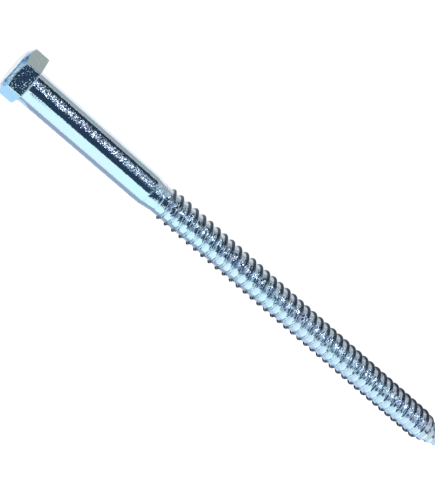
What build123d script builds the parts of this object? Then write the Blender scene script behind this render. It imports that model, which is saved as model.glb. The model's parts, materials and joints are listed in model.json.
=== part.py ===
from build123d import *
from math import atan2, ceil, cos, degrees, radians, sin, tan
import os

# Hex-head lag screw, forged and threaded from one steel blank. Sizes are in millimetres.
# The screw is first built upright, with its seat, the underside of the head that bears on
# the timber, at height zero, the head below it and the point above. Heights are counted
# from the seat. At the end it is laid down the way it comes to rest.

INCH = 25.4

# Shank and point
shank_diameter = 0.75 * INCH
length_under_head = 13.5 * INCH
plain_length = 84.3  # full-diameter shank, from the seat to the neck
neck_length = 9.2  # taper from the shank down to the core of the thread
point_length = 27.7  # cone that bores into the timber
tip_diameter = 0.8  # the point is left slightly blunt

# Thread
threads_per_inch = 4.5
thread_depth = 1.425  # height of the ridge above the core
thread_angle = 60.0  # between the two flanks of the ridge
run_out_turns = 0.5  # share of a turn over which the ridge grows out of the core
turn_in_turns = 0.3  # the ridge shrinks from this share of a turn before the point
ridge_sink = 0.3  # how far the foot of the ridge reaches into the core
run_out_sink = 0.1  # how far the crest has sunk into the core where the ridge begins
ridge_end_depth = 0.25  # height that is left of the ridge where it ends near the tip
bare_tip_length = 2.5  # end of the point that carries no ridge
longest_sweep_turns = 7  # the thread is swept in stretches no longer than this

# Head
bearing_width = 3.475  # from the shank out to the flats, as on a head that isn't offset
head_height = 11.4
crown_inset = 2.8  # from the flats in to the flat disc inside the chamfer
head_chamfer_angle = 30.0
head_offset = 1.8  # the forged head sits this far to one side of the shank's axis
seat_chamfer = 1.0  # eases the corner between the seat and the shank
hexagon_half_angle = 30.0  # between the middle of a flat and the corner beside it

# Values that follow from the sizes above
shank_radius = shank_diameter / 2
core_radius = shank_radius - thread_depth
tip_radius = tip_diameter / 2
pitch = INCH / threads_per_inch
thread_start = plain_length + neck_length
full_thread_start = thread_start + run_out_turns * pitch
point_start = length_under_head - point_length
full_thread_end = point_start - turn_in_turns * pitch
ridge_end = length_under_head - bare_tip_length
flat_distance = shank_radius + bearing_width
head_top_radius = flat_distance - crown_inset
tip_core_radius = tip_radius + (core_radius - tip_radius) * bare_tip_length / point_length


def turn_at(height):
    """Angle of the thread's crest about the axis at a height, in degrees."""
    return 360 * (height - thread_start) / pitch


def ridge_section(height, crest_radius, foot_radius):
    """Triangle of the thread's ridge, in the plane of the axis that its crest has turned to."""
    turn = radians(turn_at(height))
    outwards = (cos(turn), sin(turn), 0)
    along_thread = (-sin(turn), cos(turn), 0)
    half_width = (crest_radius - foot_radius) * tan(radians(thread_angle / 2))
    with BuildSketch(Plane((0, 0, height), x_dir=outwards, z_dir=along_thread)) as section:
        with BuildLine():
            Polyline(
                (crest_radius, 0),
                (foot_radius, half_width),
                (foot_radius, -half_width),
                close=True,
            )
        make_face()
    return section.sketch


def crest_line(start, end, start_radius, end_radius):
    """Right-handed helix of the crest between two heights, on a cylinder or a cone."""
    slope = atan2(end_radius - start_radius, end - start)
    with BuildLine() as crest:
        Helix(
            pitch / cos(slope),
            end - start,
            start_radius,
            center=(0, 0, start),
            cone_angle=degrees(slope),
        )
    return crest.line.rotate(Axis.Z, turn_at(start))


# The stretches of the ridge meet end to end: the run-out by the neck, the full thread cut
# into equal lengths, and the point. Each row is a height, the crest's radius there and the
# radius of the ridge's foot.
full_length = full_thread_end - full_thread_start
stretches = ceil(full_length / pitch / longest_sweep_turns)
ridge_stations = [(thread_start, core_radius - run_out_sink, core_radius - ridge_sink)]
for station in range(stretches + 1):
    height = full_thread_start + full_length * station / stretches
    ridge_stations.append((height, shank_radius, core_radius - ridge_sink))
ridge_stations.append((ridge_end, tip_core_radius + ridge_end_depth, tip_core_radius - ridge_sink))

with BuildPart() as upright:
    # Hexagonal head. A cone about the head's own axis rounds off the corners of its top.
    with BuildSketch():
        with Locations((-head_offset, 0)):
            RegularPolygon(flat_distance, 6, major_radius=False)
    extrude(amount=-head_height)
    corner_radius = flat_distance / cos(radians(hexagon_half_angle))
    chamfer_drop = (corner_radius - head_top_radius) * tan(radians(head_chamfer_angle))
    with BuildSketch(Plane.XZ):
        with BuildLine():
            Polyline(
                (-head_offset, 0),
                (corner_radius - head_offset, 0),
                (corner_radius - head_offset, chamfer_drop - head_height),
                (head_top_radius - head_offset, -head_height),
                (-head_offset, -head_height),
                close=True,
            )
        make_face()
    revolve(axis=Axis((-head_offset, 0, 0), (0, 0, 1)), mode=Mode.INTERSECT)

    # Shank, neck, core and point, turned about the screw's axis.
    with BuildSketch(Plane.XZ):
        with BuildLine():
            Polyline(
                (0, -head_height / 2),
                (shank_radius, -head_height / 2),
                (shank_radius, plain_length),
                (core_radius, thread_start),
                (core_radius, point_start),
                (tip_radius, length_under_head),
                (0, length_under_head),
                close=True,
            )
        make_face()
    revolve(axis=Axis.Z)
    seat_edge = upright.edges().filter_by(GeomType.CIRCLE).filter_by_position(Axis.Z, 0, 0)
    chamfer(seat_edge, length=seat_chamfer)

    # Ridge of the thread. Its section stays the same along the full thread and changes
    # from one end to the other of the run-out and of the point.
    for lower, upper in zip(ridge_stations, ridge_stations[1:]):
        crest = crest_line(lower[0], upper[0], lower[1], upper[1])
        sections = [ridge_section(*lower)]
        if upper[1:] != lower[1:]:
            sections.append(ridge_section(*upper))
        sweep(sections, path=crest, multisection=len(sections) > 1, is_frenet=True)

# Lying on one flat, the screw tips until the last full crest before the point touches too.
lean = atan2(flat_distance - shank_radius, full_thread_end)
lying = Plane((0, 0, 0), x_dir=(0, -1, 0), z_dir=(cos(lean), 0, -sin(lean)))

with BuildPart() as lag_screw:
    with Locations(lying.location):
        add(upright.part)

os.makedirs("parts", exist_ok=True)
lag_screw.part.label = "lag_screw"
export_step(lag_screw.part, "parts/lag_screw.step")
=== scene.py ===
import json
import math

import bmesh
import bpy
import numpy as np
from mathutils import Matrix, Vector


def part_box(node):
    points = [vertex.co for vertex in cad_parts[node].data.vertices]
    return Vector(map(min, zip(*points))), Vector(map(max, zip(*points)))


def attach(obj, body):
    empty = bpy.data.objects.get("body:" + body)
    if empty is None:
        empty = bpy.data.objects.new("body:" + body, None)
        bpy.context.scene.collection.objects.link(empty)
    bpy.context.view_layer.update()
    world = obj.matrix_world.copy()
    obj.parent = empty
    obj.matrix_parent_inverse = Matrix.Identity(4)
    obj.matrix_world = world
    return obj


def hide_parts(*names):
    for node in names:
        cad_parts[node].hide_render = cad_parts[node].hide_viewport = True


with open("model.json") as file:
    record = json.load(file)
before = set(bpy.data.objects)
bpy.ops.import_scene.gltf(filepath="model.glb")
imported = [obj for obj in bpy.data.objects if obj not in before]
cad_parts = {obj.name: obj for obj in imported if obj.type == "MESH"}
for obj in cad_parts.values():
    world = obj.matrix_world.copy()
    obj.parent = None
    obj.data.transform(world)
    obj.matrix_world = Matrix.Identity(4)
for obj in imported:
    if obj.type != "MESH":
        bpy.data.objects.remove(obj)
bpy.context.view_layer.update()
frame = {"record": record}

# How the screw lies.
# The shank's axis, from the head to the point, leans a little down from level because the
# screw rests on a flat of its head and on its thread. Sizes in this file are millimetres,
# measured along the axis from the seat, the underside of the head.
MM = 0.001
mounts = {mount["name"]: mount for mount in frame["record"]["mounts"]}
along = np.array(mounts["seat"]["axis"])
along /= np.linalg.norm(along)
across = np.array((0.0, -1.0, 0.0))
below = np.cross(along, across)
screw_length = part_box("lag_screw")[1].x / MM / along[0]


def place(s, x, y):
    """Points of the screw, in metres: s along the axis, x across it and y below it."""
    points = s[..., None] * along + x[..., None] * across + y[..., None] * below
    return points * MM


# Head.
# A hexagon forged on the end of the blank, a little to one side of the shank. A cone rounds
# off the corners of its top, and the dies leave every edge slightly eased.
across_flats = 26.0
head_height = 11.4
head_top_radius = 10.2
head_offset = 1.8
chamfer_angle = math.radians(30)
corner_ease = 0.9
edge_ease = 0.5
crown_ease = 1.1
ease_steps = 5
columns_per_flat = 14
columns_per_corner = 6
columns = 6 * columns_per_flat


def hexagon():
    """Outline of the head, a column of points for each step round it. Each side is a flat
    with half of a rounded corner at either end, and the other five are it turned by 60 degrees."""
    half_turn = math.radians(30)
    flat = across_flats / 2
    corner_centre = flat * math.tan(half_turn) - corner_ease * math.tan(half_turn)
    steps = columns_per_corner // 2
    turn = np.linspace(0, half_turn, steps + 1)[1:]
    t = np.linspace(-1, 1, columns_per_flat - columns_per_corner + 1)
    level = corner_centre * (1.5 * t - 0.5 * t**3)
    out = np.full_like(level, flat)
    corner_out = flat - corner_ease + corner_ease * np.cos(turn)
    corner_side = corner_centre + corner_ease * np.sin(turn)
    side_x = np.concatenate([corner_out[::-1], out, corner_out[:-1]])
    side_y = np.concatenate([-corner_side[::-1], level, corner_side[:-1]])
    angle = half_turn + np.arange(6)[:, None] * 2 * half_turn
    x = side_x * np.cos(angle) - side_y * np.sin(angle)
    y = side_x * np.sin(angle) + side_y * np.cos(angle)
    return x.ravel(), y.ravel()


def eased(corner, before, after, reach):
    """Rows that ease a corner of a profile: a parabola that leaves the two sides at the
    given reach from the corner, where before and after are unit steps along them."""
    t = np.linspace(0, 1, ease_steps)[:, None, None]
    return corner + reach * ((1 - t) ** 2 * before + t**2 * after)


outline_x, outline_y = hexagon()
outline_radius = np.hypot(outline_x, outline_y)
flatwise = np.array((-1.0, 0.0))
up_chamfer = np.array((-math.cos(chamfer_angle), math.sin(chamfer_angle)))
down_side = np.array((0.0, -1.0))
top_corner = np.tile((head_top_radius, head_height), (columns, 1))
side_height = head_height - (outline_radius - head_top_radius) * math.tan(chamfer_angle)
side_corner = np.stack([outline_radius, side_height], axis=-1)
seat_corner = np.stack([outline_radius, np.zeros(columns)], axis=-1)
inner_rows = np.array((0.0, 0.3, 0.6, 0.8, 0.88))[:, None, None] * top_corner
inner_rows[..., 1] = head_height
chamfer_share = np.linspace(0.25, 0.75, 3)[:, None, None]
side_share = np.array((0.2, 0.5, 0.8))[:, None, None]
head_profile = np.concatenate([
    inner_rows,
    eased(top_corner, flatwise, -up_chamfer, crown_ease),
    top_corner + chamfer_share * (side_corner - top_corner),
    eased(side_corner, up_chamfer, down_side, edge_ease),
    side_corner + side_share * (seat_corner - side_corner),
    eased(seat_corner, -down_side, flatwise, edge_ease),
])
shares = head_profile[..., 0] / outline_radius
head_rows = place(-head_profile[..., 1], shares * outline_x - head_offset, shares * outline_y)

# Shank and neck.
# The plain part of the blank, with a small fillet under the head. The neck tapers down to
# the core of the thread, where the blank was drawn in before the thread was rolled.
shank_radius = mounts["shank"]["dims"]["r_mm"]
plain_length = 84.3
neck_length = 9.2
core_radius = 8.1
seat_fillet = 1.0
neck_ease = 0.12
thread_start = plain_length + neck_length
pitch = 25.4 / 4.5
column_angle = 2 * math.pi * np.arange(columns) / columns


def soft_max(a, b, ease):
    """The larger of two heights, with the corner between them eased by a hyperbola."""
    return (a + b + np.sqrt((a - b) ** 2 + ease**2)) / 2


def neck_radius(s):
    """Radius of the blank: the shank, then a cone down to the core, with eased corners."""
    cone = shank_radius + (core_radius - shank_radius) * (s - plain_length) / neck_length
    return soft_max(core_radius, -soft_max(-cone, -shank_radius, neck_ease), neck_ease)


def rings(s, radius):
    """Round rows about the shank's axis, one for each distance along it and its radius."""
    x = radius[:, None] * np.cos(column_angle)
    y = radius[:, None] * np.sin(column_angle)
    return place(np.broadcast_to(s[:, None], x.shape), x, y)


fillet_turn = np.linspace(0, math.pi / 2, 6)
fillet_s = seat_fillet * (1 - np.cos(fillet_turn))
fillet_radius = shank_radius + seat_fillet * (1 - np.sin(fillet_turn))
fillet_rows = rings(fillet_s, fillet_radius)
seat_share = np.array((0.1, 0.5, 0.9))[:, None, None]
seat_rows = head_rows[-1] + seat_share * (fillet_rows[0] - head_rows[-1])
strip_start = thread_start - pitch / 2
close_rows_start = plain_length - 2
shank_s = np.concatenate([
    np.linspace(seat_fillet, close_rows_start, 40)[1:],
    np.linspace(close_rows_start, strip_start, 30)[1:],
])
shank_rows = rings(shank_s, neck_radius(shank_s))

# Thread and point.
# A right-handed ridge rolled up out of the core, which starts with half a turn of run-out
# at the neck and winds on down the tapered point, getting lower with it. The mesh is a
# strip one pitch wide that follows the ridge, so that the crest always has its own points.
point_length = 27.7
tip_radius = 0.4
point_start = screw_length - point_length
full_thread_end = point_start - 0.3 * pitch
ridge_end = screw_length - 2.5
ridge_end_radius = 1.35
run_out = 0.5 * pitch
run_out_depth = 0.6
flank_slope = 1 / math.tan(math.radians(30))
crest_ease = 0.22
root_ease = 0.55
point_ease = 0.5
strip_end = screw_length - 1.2
crest_steps = np.array((0.12, 0.28, 0.46, 0.64, 0.82, 1.02, 1.3, 1.75, 2.3)) / pitch
strip_share = np.concatenate([(0.0,), 0.5 - crest_steps[::-1], (0.5,), 0.5 + crest_steps, (1.0,)])


def blank_radius(s):
    """Radius of the core without its ridge: the neck, the core and the cone of the point."""
    cone = core_radius + (tip_radius - core_radius) * (s - point_start) / point_length
    return -soft_max(-neck_radius(s), -cone, point_ease)


def crest_radius(s):
    """Radius of the ridge's crest: it grows out of the core over the run-out, is as wide as
    the shank along the full thread, and comes down with the point."""
    heights = (core_radius - run_out_depth, shank_radius, shank_radius, ridge_end_radius, 0.0)
    stations = (thread_start, thread_start + run_out, full_thread_end, ridge_end, screw_length)
    return np.interp(s, stations, heights)


def screw_radius(s, turn):
    """Radius of the screw at a distance along it and an angle round it, in turns: the larger
    of the core and of the ridge, whose flanks fall at 60 degrees to the axis from its crest."""
    from_crest = ((s - thread_start) / pitch - turn + 0.5) % 1 - 0.5
    fall = np.sqrt((from_crest * pitch) ** 2 + crest_ease**2) - crest_ease
    return soft_max(blank_radius(s), crest_radius(s) - fall * flank_slope, root_ease)


last_step = math.ceil((strip_end - strip_start) / pitch * columns) + columns
step = np.arange(-columns, last_step + 1 - columns)
upper_edge = np.clip(thread_start + pitch * (step / columns + 0.5), strip_start, strip_end)
lower_edge = np.clip(thread_start + pitch * (step / columns - 0.5), strip_start, strip_end)
strip_s = lower_edge[:, None] + (upper_edge - lower_edge)[:, None] * strip_share
strip_turn = np.broadcast_to((step / columns)[:, None], strip_s.shape)
strip_radius = screw_radius(strip_s, strip_turn)
strip_angle = 2 * math.pi * (strip_turn % 1)
strip_x = strip_radius * np.cos(strip_angle)
strip_y = strip_radius * np.sin(strip_angle)
thread_strip = place(strip_s, strip_x, strip_y)
least_flank_rise = 0.2
full_flank_rise = 0.7
least_run = 0.01
strip_climb = strip_radius[:, 2:] - strip_radius[:, :-2]
strip_run = np.maximum(strip_s[:, 2:] - strip_s[:, :-2], least_run)
strip_rise = np.zeros(strip_s.shape)
strip_rise[:, 1:-1] = np.abs(strip_climb / strip_run)
flank_share = (strip_rise - least_flank_rise) / (full_flank_rise - least_flank_rise)
strip_flank = np.clip(flank_share, 0, 1)

tip_turn = np.linspace(0, math.pi / 2, 6)
tip_s = np.concatenate([
    np.linspace(strip_end, screw_length - tip_radius, 3)[:-1],
    screw_length - tip_radius * (1 - np.sin(tip_turn)),
])
cone_end = blank_radius(tip_s[:2])
round_end = blank_radius(tip_s[2]) * np.cos(tip_turn)
tip_rows = rings(tip_s, np.concatenate([cone_end, round_end]))


def grid_faces(rows, row_length, closed, first):
    """Corners of the faces of a grid of points that are numbered row by row from first. A
    closed grid's last column joins its first."""
    row = np.arange(rows - 1)[:, None] * row_length
    column = np.arange(row_length if closed else row_length - 1)
    beside = (column + 1) % row_length
    corners = (row + column, row + beside, row + row_length + beside, row + row_length + column)
    return first + np.stack(corners, axis=-1).reshape(-1, 4)


def whole_mesh(name, grids, flanks):
    """One closed mesh of several grids, each with whether its rows are closed, joined where
    their points meet, with its faces turned outwards and shaded smooth. Flanks say how much
    of a thread's flank each grid's points are, as an attribute that the plating reads to paint
    shade and reflection onto the flanks."""
    points = np.concatenate([grid.reshape(-1, 3) for grid, closed in grids])
    firsts = np.cumsum([0] + [grid.shape[0] * grid.shape[1] for grid, closed in grids])
    faces = np.concatenate([
        grid_faces(grid.shape[0], grid.shape[1], closed, first)
        for (grid, closed), first in zip(grids, firsts)
    ])
    mesh = bpy.data.meshes.new(name)
    mesh.from_pydata(points.tolist(), [], faces.tolist())
    marks = mesh.attributes.new("flank", "FLOAT", "POINT")
    marks.data.foreach_set("value", np.concatenate([flank.ravel() for flank in flanks]))
    joined = bmesh.new()
    joined.from_mesh(mesh)
    bmesh.ops.remove_doubles(joined, verts=joined.verts, dist=1e-7)
    bmesh.ops.recalc_face_normals(joined, faces=joined.faces)
    joined.to_mesh(mesh)
    joined.free()
    mesh.polygons.foreach_set("use_smooth", np.ones(len(mesh.polygons), bool))
    mesh.update()
    return mesh


body_rows = np.concatenate([head_rows, seat_rows, fillet_rows, shank_rows])
grids = [(body_rows, True), (thread_strip, False), (tip_rows, True)]
flanks = [np.zeros(body_rows.shape[:2]), strip_flank, np.zeros(tip_rows.shape[:2])]
screw_mesh = whole_mesh("forged_screw", grids, flanks)
screw = bpy.data.objects.new("forged_screw", screw_mesh)
bpy.context.scene.collection.objects.link(screw)
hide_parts("lag_screw")
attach(screw, "root")


# Zinc plate.
# Bright electroplated zinc with a thin blue passivation, mirror-like over the steel's own
# skin. Small facets break the mirror up on the head, the thread and a stripe of the shank.
class Field:
    """A socket of a material that can be used in sums, and the maker of nodes beside it."""

    def __init__(self, tree, socket=None):
        self.tree = tree
        self.socket = socket

    def node(self, kind, settings=None, inputs=None, output=0):
        """A node of a kind, with its settings and its inputs by name or number."""
        made = self.tree.nodes.new(kind)
        for key, value in (settings or {}).items():
            setattr(made, key, value)
        for key, value in (inputs or {}).items():
            if isinstance(value, Field):
                self.tree.links.new(value.socket, made.inputs[key])
            else:
                made.inputs[key].default_value = value
        if len(made.outputs) == 0:
            return made
        return Field(self.tree, made.outputs[output])

    def maths(self, operation, *values):
        return self.node("ShaderNodeMath", {"operation": operation}, dict(enumerate(values)))

    def __add__(self, other):
        return self.maths("ADD", self, other)

    def __radd__(self, other):
        return self.maths("ADD", other, self)

    def __sub__(self, other):
        return self.maths("SUBTRACT", self, other)

    def __rsub__(self, other):
        return self.maths("SUBTRACT", other, self)

    def __mul__(self, other):
        return self.maths("MULTIPLY", self, other)

    def __rmul__(self, other):
        return self.maths("MULTIPLY", other, self)

    def between(self, low, high):
        """0 below the low value and 1 above the high one, smooth between them."""
        limits = {"Value": self, "From Min": low, "From Max": high}
        return self.node("ShaderNodeMapRange", {"interpolation_type": "SMOOTHSTEP"}, limits)

    def noise(self, scale, detail):
        """Noise at these coordinates, around 0.5, with so many ripples in each metre."""
        inputs = {"Vector": self, "Scale": scale, "Detail": detail}
        return self.node("ShaderNodeTexNoise", None, inputs)

    def mix(self, colour_a, colour_b):
        """One colour where this is 0 and the other where it is 1. The colours of a Mix node
        are its inputs 6 and 7 and its output 2."""
        inputs = {"Factor": self, 6: colour_a, 7: colour_b}
        return self.node("ShaderNodeMix", {"data_type": "RGBA"}, inputs, 2)

    def bump(self, depth):
        """The normal of a surface that this height, times a depth in metres, lifts."""
        inputs = {"Strength": 1.0, "Distance": depth, "Height": self}
        return self.node("ShaderNodeBump", None, inputs)

    def vector(self, operation, *others, output=0):
        """Vector arithmetic on this and the other values."""
        values = dict(enumerate((self, *others)))
        return self.node("ShaderNodeVectorMath", {"operation": operation}, values, output)

    def scaled(self, amount):
        """This vector made longer or shorter by an amount that can vary."""
        return self.node("ShaderNodeVectorMath", {"operation": "SCALE"}, {0: self, "Scale": amount})

    def facets(self, place, scale, lean):
        """This normal leaned a random way in each of many small cells, so many to a metre.
        Most cells lean a little and a few lean far."""
        where = {"Vector": place, "Scale": scale}
        cells = self.node("ShaderNodeTexVoronoi", None, where, "Color")
        ways = cells.vector("SUBTRACT", (0.5, 0.5, 0.5))
        far = ways.vector("DOT_PRODUCT", ways, output="Value")
        return ways.scaled(lean * far).vector("ADD", self).vector("NORMALIZE")


def new_shop(owner):
    """The empty node tree of a new material or world."""
    owner.use_nodes = True
    owner.node_tree.nodes.clear()
    return Field(owner.node_tree)


zinc = bpy.data.materials.new("bright_zinc_plate")
shop = new_shop(zinc)
coordinates = shop.node("ShaderNodeTexCoord", output="Object")
from_seat = shop.node("ShaderNodeSeparateXYZ", None, {"Vector": coordinates})
sideways = shop.node("ShaderNodeSeparateXYZ", None, {"Vector": coordinates}, "Y")
on_shank = from_seat.between(-0.001, 0.002)
on_thread = from_seat.between((thread_start - neck_length / 2) * MM, thread_start * MM)

blue_zinc = (0.66, 0.78, 0.86, 1)
lavender_zinc = (0.70, 0.75, 0.86, 1)
drift = coordinates.noise(60.0, 2.0).between(0.35, 0.65)
tint = drift.mix(blue_zinc, lavender_zinc)

# The colour of the flanks is painted shade and painted reflection, standing in for part of what
# they reflect, so it isn't alike all round: painted dark far towards +Y and at the edge towards -Y,
# and a painted pale reflection between.
painted_shade_flank = (0.02, 0.035, 0.07, 1)
painted_reflection_flank = (0.72, 0.84, 0.92, 1)
painted_flank_strength = 0.94
flank = shop.node("ShaderNodeAttribute", {"attribute_name": "flank"}, output="Fac")
painted_reflection_side = sideways.between(-0.0075, -0.0055) - sideways.between(0.003, 0.006)
tint = (flank * painted_flank_strength).mix(tint, painted_reflection_side.mix(painted_shade_flank, painted_reflection_flank))

# On the shank the facets keep to a stripe along its upper side. On the thread they are
# drawn out round the screw, the way it was rolled, and lean further in the same stripe.
head_lean = 0.7
shank_lean = 2.3
thread_fine_lean = 0.2
thread_lean = 0.4
thread_stripe_lean = 2.6
fine_facets = 2800.0
rolled_facets = 1100.0
grain_depth = 0.00003
least_roughness = 0.04
grain_roughness = 0.06
stripe = sideways.between(0.0012, 0.0036) - sideways.between(0.0048, 0.0068)
in_stripe = 1.0 + on_shank * (stripe - 1.0)
fine_lean = head_lean + (shank_lean - head_lean) * on_shank
fine_lean = fine_lean - (shank_lean - thread_fine_lean) * on_thread
grain = coordinates.noise(1300.0, 1.0)
relief = grain.bump(grain_depth)
relief = relief.facets(coordinates, fine_facets, in_stripe * fine_lean)
round_the_screw = coordinates.vector("MULTIPLY", (2.0, 0.5, 0.5))
rolled_lean = on_thread * (thread_lean + thread_stripe_lean * in_stripe)
relief = relief.facets(round_the_screw, rolled_facets, rolled_lean)
roughness = least_roughness + grain_roughness * grain
inputs = {"Base Color": tint, "Metallic": 1.0, "Roughness": roughness, "Normal": relief}
surface = shop.node("ShaderNodeBsdfPrincipled", None, inputs)
shop.node("ShaderNodeOutputMaterial", None, {"Surface": surface})
screw.data.materials.append(zinc)

# Floor and light.
# A plain white table under a white sky. Cards unseen by the camera give the metal something
# to reflect: dark ones overhead and far away with strips of light between, a bright window
# to the near side, two small ones close over the neck, and tinted ones just above the table.
floor_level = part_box("lag_screw")[0].z
scene = bpy.context.scene


def panel(name, centre, facing, size):
    """A flat rectangle as an object: its centre, the way it faces, and its size, the level
    side first."""
    square = np.array(((-1, -1, 0), (1, -1, 0), (1, 1, 0), (-1, 1, 0))) / 2
    corners = square * (*size, 0)
    turned = Vector(facing).to_track_quat("Z", "Y").to_matrix().to_4x4()
    mesh = bpy.data.meshes.new(name)
    mesh.from_pydata(corners.tolist(), [], [(0, 1, 2, 3)])
    mesh.transform(Matrix.Translation(centre) @ turned)
    made = bpy.data.objects.new(name, mesh)
    scene.collection.objects.link(made)
    return made


def seen_straight(shop):
    """1 for a ray from the camera or off a mirror, and 0 for one that lights a matt surface."""
    camera_ray = shop.node("ShaderNodeLightPath", output="Is Camera Ray")
    glossy_ray = shop.node("ShaderNodeLightPath", output="Is Glossy Ray")
    clear_ray = shop.node("ShaderNodeLightPath", output="Is Transmission Ray")
    return camera_ray + glossy_ray + clear_ray


table_glow = 0.9
table_colour = (0.35, 0.35, 0.35, 1)
sky_on_matt = 0.6
floor = panel("floor", (0, 0, floor_level), (0, 0, 1), (12, 12))
paper = bpy.data.materials.new("white_table")
shop = new_shop(paper)
glow = shop.node("ShaderNodeEmission", None, {"Strength": seen_straight(shop) * table_glow})
matt = shop.node("ShaderNodeBsdfDiffuse", None, {"Color": table_colour})
both = shop.node("ShaderNodeAddShader", None, {0: glow, 1: matt})
shop.node("ShaderNodeOutputMaterial", None, {"Surface": both})
floor.data.materials.append(paper)

sky = bpy.data.worlds.new("white_sky")
scene.world = sky
shop = new_shop(sky)
sky_strength = sky_on_matt + (1 - sky_on_matt) * seen_straight(shop)
glow = shop.node("ShaderNodeBackground", None, {"Strength": sky_strength})
shop.node("ShaderNodeOutputWorld", None, {"Surface": glow})


def card(name, centre, facing, size, colour, fade=None):
    """A glowing card for the metal to reflect, unseen by the camera. With a fade, its colour
    passes to another one between two places along the screw, in metres."""
    material = bpy.data.materials.new(name)
    shop = new_shop(material)
    tint = (*colour, 1)
    if fade:
        first, last, other = fade
        where = shop.node("ShaderNodeTexCoord", output="Object")
        lengthways = shop.node("ShaderNodeSeparateXYZ", None, {"Vector": where})
        tint = lengthways.between(first, last).mix(tint, (*other, 1))
    glow = shop.node("ShaderNodeEmission", None, {"Color": tint, "Strength": 1.0})
    shop.node("ShaderNodeOutputMaterial", None, {"Surface": glow})
    made = panel(name, centre, facing, size)
    made.data.materials.append(material)
    made.visible_camera = False
    made.visible_diffuse = False
    made.visible_shadow = False


def arc_card(name, first, last, distance, colour, middle_x, length, fade=None):
    """A card beside the screw that fills the directions from one angle to another, counted
    from overhead towards the near side. Its middle and its length are along the screw."""
    turn = math.radians((first + last) / 2)
    out = Vector((0, -math.sin(turn), math.cos(turn)))
    width = 2 * distance * math.tan(math.radians(abs(last - first) / 2))
    centre = Vector((middle_x, 0, 0)) + distance * out
    card(name, centre, -out, (length, width), colour, fade)


dusk = (0.025, 0.055, 0.10)
far_dusk = (0.025, 0.05, 0.075)
daylight = (0.95, 1.27, 1.20)
overhead_fade = (0.38, 0.75, (0.50, 0.68, 0.82))
far_fade = (0.40, 0.62, (0.58, 0.68, 0.80))
window_fade = (0.4, 0.9, (0.86, 1.04, 1.16))
strip_fade = (0.12, 0.30, (0.5, 0.65, 0.85))
arc_card("dark_card_overhead", -39, 16, 1.0, dusk, 0.70, 1.9, overhead_fade)
arc_card("dark_card_tip", -10, 25, 0.95, (0.02, 0.05, 0.10), 1.36, 0.9)
arc_card("neck_shade", -45, 30, 0.05, dusk, 0.1155, 0.0115)
arc_card("neck_window", 30, 85, 0.05, daylight, 0.1155, 0.0115)
arc_card("dark_card_head", 10, 34, 0.7, dusk, -0.13, 0.46)
arc_card("dark_card_far", -100, -42, 0.9, far_dusk, 0.70, 1.9, far_fade)
arc_card("dark_card_beyond", -130, -104, 0.9, far_dusk, 1.25, 1.8)
arc_card("bright_window", 16, 87, 1.1, daylight, 0.15, 3.0, window_fade)
arc_card("strip_light", -44, -38, 0.9, (4.6, 5.0, 5.6), 0.09, 0.54, strip_fade)
arc_card("strip_light_beyond", -46, -37, 0.9, (3.2, 4.0, 4.8), 0.74, 0.76)


def table_card(name, x, y, layer, size, colour, fade=None):
    """A card that faces up from just above the table, the higher layers over the lower."""
    card(name, (x, y, floor_level + layer * layer_step), (0, 0, 1), size, colour, fade)


layer_step = 0.0002
far_shade_fade = (0.12, 0.3, (0.42, 0.44, 0.48))
blue_fade = (-0.07, -0.03, (0.05, 0.18, 0.36))
disc_fade = (-0.021, -0.0155, (1.0, 1.0, 1.0))
table_card("lavender_card", 0.10, -0.21, 2, (0.18, 0.38), (0.38, 0.49, 0.62))
table_card("grey_card", 0.2, 0.235, 2, (0.9, 0.41), (0.46, 0.50, 0.50))
table_card("pale_blue_card", -0.1, -0.21, 2, (0.22, 0.38), (0.58, 0.88, 1.12))
# The two shade cards are painted shadow: darker sheets where the screw's shadow falls on the table
# under and beside it, seen only in the metal.
table_card("near_shade", 0.166, -0.0085, 1, (0.348, 0.017), (0.04, 0.06, 0.11))
table_card("far_shade", 0.24, 0.0135, 1, (0.284, 0.027), (0.8, 0.85, 0.85), far_shade_fade)
table_card("blue_patch", -0.075, 0.005, 2, (0.102, 0.06), (0.6, 0.85, 1.0), blue_fade)
table_card("disc_patch", -0.0165, 0.0, 2, (0.015, 0.06), (0.5, 0.8, 0.95), disc_fade)
table_card("sage_card", -0.01, 0.09, 3, (0.044, 0.12), (0.47, 0.50, 0.44))
table_card("tip_card", 0.34, -0.21, 2, (0.30, 0.38), (0.62, 0.80, 1.0))
card("blue_card", (-0.6, 0.0, 0.30), (1, 0, -0.3), (1.2, 0.5), (0.03, 0.08, 0.22))

key = bpy.data.lights.new("key", "AREA")
key.shape = "RECTANGLE"
key.size = 1.2
key.size_y = 0.9
key.energy = 12.0
key_lamp = bpy.data.objects.new("key", key)
key_place = Vector((0.15, -0.92, 0.77))
key_target = Vector((0.15, 0, 0))
key_turn = (key_place - key_target).to_track_quat("Z", "Y").to_matrix().to_4x4()
key_lamp.matrix_world = Matrix.Translation(key_place) @ key_turn
key_lamp.visible_glossy = False
scene.collection.objects.link(key_lamp)

# Camera.
# It looks down along the screw from above and behind the head. The focal length is on the
# same scale as the image's height.
camera_data = bpy.data.cameras.new("camera")
camera = bpy.data.objects.new("camera", camera_data)
scene.collection.objects.link(camera)
scene.camera = camera
camera_data.sensor_fit = "VERTICAL"
image_height = 495
focal_length = 1052.2
camera_data.angle = 2 * math.atan(image_height / 2 / focal_length)
camera_place = (-0.06205, 0.06726, 0.54754)
right = Vector((0.7094, 0.6830, 0.1739))
forward = Vector((0.3383, -0.1135, -0.9342)).normalized()
right = (right - forward * right.dot(forward)).normalized()
upward = right.cross(forward)
camera_turn = Matrix((right, upward, -forward)).transposed().to_4x4()
camera.matrix_world = Matrix.Translation(camera_place) @ camera_turn
camera_data.clip_start = 0.01

scene.view_settings.view_transform = "Standard"
